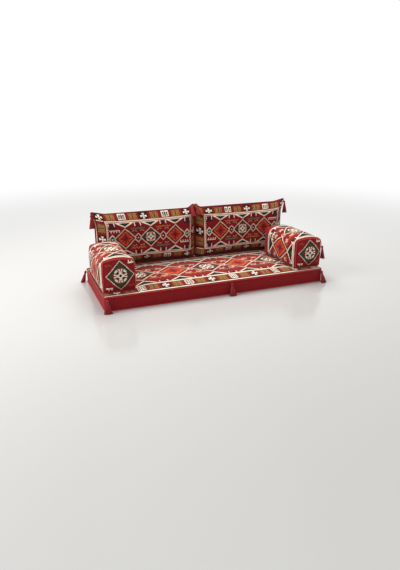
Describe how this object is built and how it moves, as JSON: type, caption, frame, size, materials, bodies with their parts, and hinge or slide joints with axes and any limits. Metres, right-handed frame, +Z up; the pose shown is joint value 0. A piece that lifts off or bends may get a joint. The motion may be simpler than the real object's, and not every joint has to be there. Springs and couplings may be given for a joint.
{
  "type": "majlis floor sofa",
  "caption": "Floor sofa of a box mattress, two knife-edge back cushions and two bolster armrests, piped, zipped and tasselled, in flat-woven cloth.",
  "frame": {"origin": "middle of the mattress's underside, on the floor", "axes": "+X along the front from left to right, +Y from the front to the back, +Z up"},
  "size_m": [2.1201, 0.9462, 0.6419],
  "materials": {
    "kilim": "matte",
    "red_cloth": "matte",
    "red_rib": "matte",
    "red_cord": "matte",
    "foam": "matte",
    "tassel_yarn": "matte",
    "zip_tape": "matte",
    "zip_metal": "satin"
  },
  "bodies": {
    "mattress": {"mattress_foam": "foam", "mattress_top_panel": "kilim", "mattress_bottom_panel": "red_cloth", "mattress_side_band": "red_rib", "mattress_top_piping": "red_cord", "mattress_bottom_piping": "red_cord", "mattress_zip": "zip_tape"},
    "back_left": {"back_left_fill": "foam", "back_left_front_panel": "kilim", "back_left_rear_panel": "red_cloth", "back_left_piping": "red_cord", "back_left_zip": "zip_tape"},
    "back_right": {"back_right_fill": "foam", "back_right_front_panel": "kilim", "back_right_rear_panel": "red_cloth", "back_right_piping": "red_cord", "back_right_zip": "zip_tape"},
    "arm_left": {"arm_left_fill": "foam", "arm_left_sleeve": "kilim", "arm_left_front_panel": "kilim", "arm_left_rear_panel": "kilim", "arm_left_front_piping": "red_cord", "arm_left_rear_piping": "red_cord", "arm_left_zip": "zip_tape"},
    "arm_right": {"arm_right_fill": "foam", "arm_right_sleeve": "kilim", "arm_right_front_panel": "kilim", "arm_right_rear_panel": "kilim", "arm_right_front_piping": "red_cord", "arm_right_rear_piping": "red_cord", "arm_right_zip": "zip_tape"},
    "mattress_tassel_front_left": {"mattress_tassel_front_left": "tassel_yarn"},
    "mattress_tassel_front_middle": {"mattress_tassel_front_middle": "tassel_yarn"},
    "mattress_tassel_front_right": {"mattress_tassel_front_right": "tassel_yarn"},
    "mattress_tassel_rear_left": {"mattress_tassel_rear_left": "tassel_yarn"},
    "mattress_tassel_rear_middle": {"mattress_tassel_rear_middle": "tassel_yarn"},
    "mattress_tassel_rear_right": {"mattress_tassel_rear_right": "tassel_yarn"},
    "back_left_tassel_outer": {"back_left_tassel_outer": "tassel_yarn"},
    "back_left_tassel_inner": {"back_left_tassel_inner": "tassel_yarn"},
    "back_right_tassel_outer": {"back_right_tassel_outer": "tassel_yarn"},
    "back_right_tassel_inner": {"back_right_tassel_inner": "tassel_yarn"},
    "arm_left_tassel": {"arm_left_tassel": "tassel_yarn"},
    "arm_right_tassel": {"arm_right_tassel": "tassel_yarn"},
    "mattress_zip_slider": {"mattress_zip_slider": "zip_metal"},
    "mattress_zip_pull": {"mattress_zip_pull": "zip_metal"},
    "back_left_zip_slider": {"back_left_zip_slider": "zip_metal"},
    "back_left_zip_pull": {"back_left_zip_pull": "zip_metal"},
    "back_right_zip_slider": {"back_right_zip_slider": "zip_metal"},
    "back_right_zip_pull": {"back_right_zip_pull": "zip_metal"},
    "arm_left_zip_slider": {"arm_left_zip_slider": "zip_metal"},
    "arm_left_zip_pull": {"arm_left_zip_pull": "zip_metal"},
    "arm_right_zip_slider": {"arm_right_zip_slider": "zip_metal"},
    "arm_right_zip_pull": {"arm_right_zip_pull": "zip_metal"}
  },
  "joints": [
    {"name": "back_left_lift", "type": "slide", "parent": "mattress", "child": "back_left", "axis": [0, 0, 1], "range_m": [0, 0.56]},
    {"name": "back_right_lift", "type": "slide", "parent": "mattress", "child": "back_right", "axis": [0, 0, 1], "range_m": [0, 0.56]},
    {"name": "arm_left_lift", "type": "slide", "parent": "mattress", "child": "arm_left", "axis": [0, 0, 1], "range_m": [0, 0.56]},
    {"name": "arm_right_lift", "type": "slide", "parent": "mattress", "child": "arm_right", "axis": [0, 0, 1], "range_m": [0, 0.56]},
    {"name": "mattress_tassel_front_left_swing", "type": "hinge", "parent": "mattress", "child": "mattress_tassel_front_left", "pos_m": [-0.97444, -0.40759, 0.1157], "axis": [-0.9903, 0.1392, 0], "range_deg": [0, 70]},
    {"name": "mattress_tassel_front_middle_swing", "type": "hinge", "parent": "mattress", "child": "mattress_tassel_front_middle", "pos_m": [0.083, -0.4079, 0.1157], "axis": [-1, 0, 0], "range_deg": [0, 70]},
    {"name": "mattress_tassel_front_right_swing", "type": "hinge", "parent": "mattress", "child": "mattress_tassel_front_right", "pos_m": [0.97986, -0.40634, 0.1157], "axis": [-0.9511, -0.309, 0], "range_deg": [0, 70]},
    {"name": "mattress_tassel_rear_left_swing", "type": "hinge", "parent": "mattress", "child": "mattress_tassel_rear_left", "pos_m": [-1.00034, 0.38586, 0.1157], "axis": [0.309, 0.9511, 0], "range_deg": [0, 35]},
    {"name": "mattress_tassel_rear_middle_swing", "type": "hinge", "parent": "mattress", "child": "mattress_tassel_rear_middle", "pos_m": [0.083, 0.4079, 0.1157], "axis": [1, 0, 0], "range_deg": [0, 35]},
    {"name": "mattress_tassel_rear_right_swing", "type": "hinge", "parent": "mattress", "child": "mattress_tassel_rear_right", "pos_m": [1.00034, 0.38586, 0.1157], "axis": [0.309, -0.9511, 0], "range_deg": [0, 35]},
    {"name": "back_left_tassel_outer_swing", "type": "hinge", "parent": "back_left", "child": "back_left_tassel_outer", "pos_m": [-0.92038, 0.4021, 0.61811], "axis": [-1, 0, 0], "range_deg": [0, 70]},
    {"name": "back_left_tassel_inner_swing", "type": "hinge", "parent": "back_left", "child": "back_left_tassel_inner", "pos_m": [0.0245, 0.40383, 0.62834], "axis": [-1, 0, 0], "range_deg": [0, 70]},
    {"name": "back_right_tassel_outer_swing", "type": "hinge", "parent": "back_right", "child": "back_right_tassel_outer", "pos_m": [1.03898, 0.4021, 0.61811], "axis": [-1, 0, 0], "range_deg": [0, 70]},
    {"name": "back_right_tassel_inner_swing", "type": "hinge", "parent": "back_right", "child": "back_right_tassel_inner", "pos_m": [0.0781, 0.40383, 0.64034], "axis": [-1, 0, 0], "range_deg": [0, 70]},
    {"name": "arm_left_tassel_swing", "type": "hinge", "parent": "arm_left", "child": "arm_left_tassel", "pos_m": [-0.72114, 0.248, 0.35341], "axis": [0, -1, 0], "range_deg": [0, 70]},
    {"name": "arm_right_tassel_swing", "type": "hinge", "parent": "arm_right", "child": "arm_right_tassel", "pos_m": [1.01986, -0.314, 0.35341], "axis": [0, -1, 0], "range_deg": [0, 70]},
    {"name": "mattress_zip_run", "type": "slide", "parent": "mattress", "child": "mattress_zip_slider", "axis": [-1, 0, 0], "range_m": [0, 1.6704]},
    {"name": "mattress_zip_pull_turn", "type": "hinge", "parent": "mattress_zip_slider", "child": "mattress_zip_pull", "pos_m": [0.8352, 0.4096, 0.06], "axis": [0, 0, -1], "range_deg": [0, 170]},
    {"name": "back_left_zip_run", "type": "slide", "parent": "back_left", "child": "back_left_zip_slider", "axis": [-1, 0, 0], "range_m": [0, 0.7304]},
    {"name": "back_left_zip_pull_turn", "type": "hinge", "parent": "back_left_zip_slider", "child": "back_left_zip_pull", "pos_m": [-0.0533, 0.48255, 0.172], "axis": [0, 0, -1], "range_deg": [0, 170]},
    {"name": "back_right_zip_run", "type": "slide", "parent": "back_right", "child": "back_right_zip_slider", "axis": [-1, 0, 0], "range_m": [0, 0.7304]},
    {"name": "back_right_zip_pull_turn", "type": "hinge", "parent": "back_right_zip_slider", "child": "back_right_zip_pull", "pos_m": [0.9023, 0.48255, 0.172], "axis": [0, 0, -1], "range_deg": [0, 170]},
    {"name": "arm_left_zip_run", "type": "slide", "parent": "arm_left", "child": "arm_left_zip_slider", "axis": [-1, 0, 0], "range_m": [0, 0.1404]},
    {"name": "arm_left_zip_pull_turn", "type": "hinge", "parent": "arm_left_zip_slider", "child": "arm_left_zip_pull", "pos_m": [-0.7818, 0.2652, 0.18], "axis": [0, 0, -1], "range_deg": [0, 170]},
    {"name": "arm_right_zip_run", "type": "slide", "parent": "arm_right", "child": "arm_right_zip_slider", "axis": [-1, 0, 0], "range_m": [0, 0.1404]},
    {"name": "arm_right_zip_pull_turn", "type": "hinge", "parent": "arm_right_zip_slider", "child": "arm_right_zip_pull", "pos_m": [0.9592, 0.2652, 0.18], "axis": [0, 0, -1], "range_deg": [0, 170]}
  ]
}
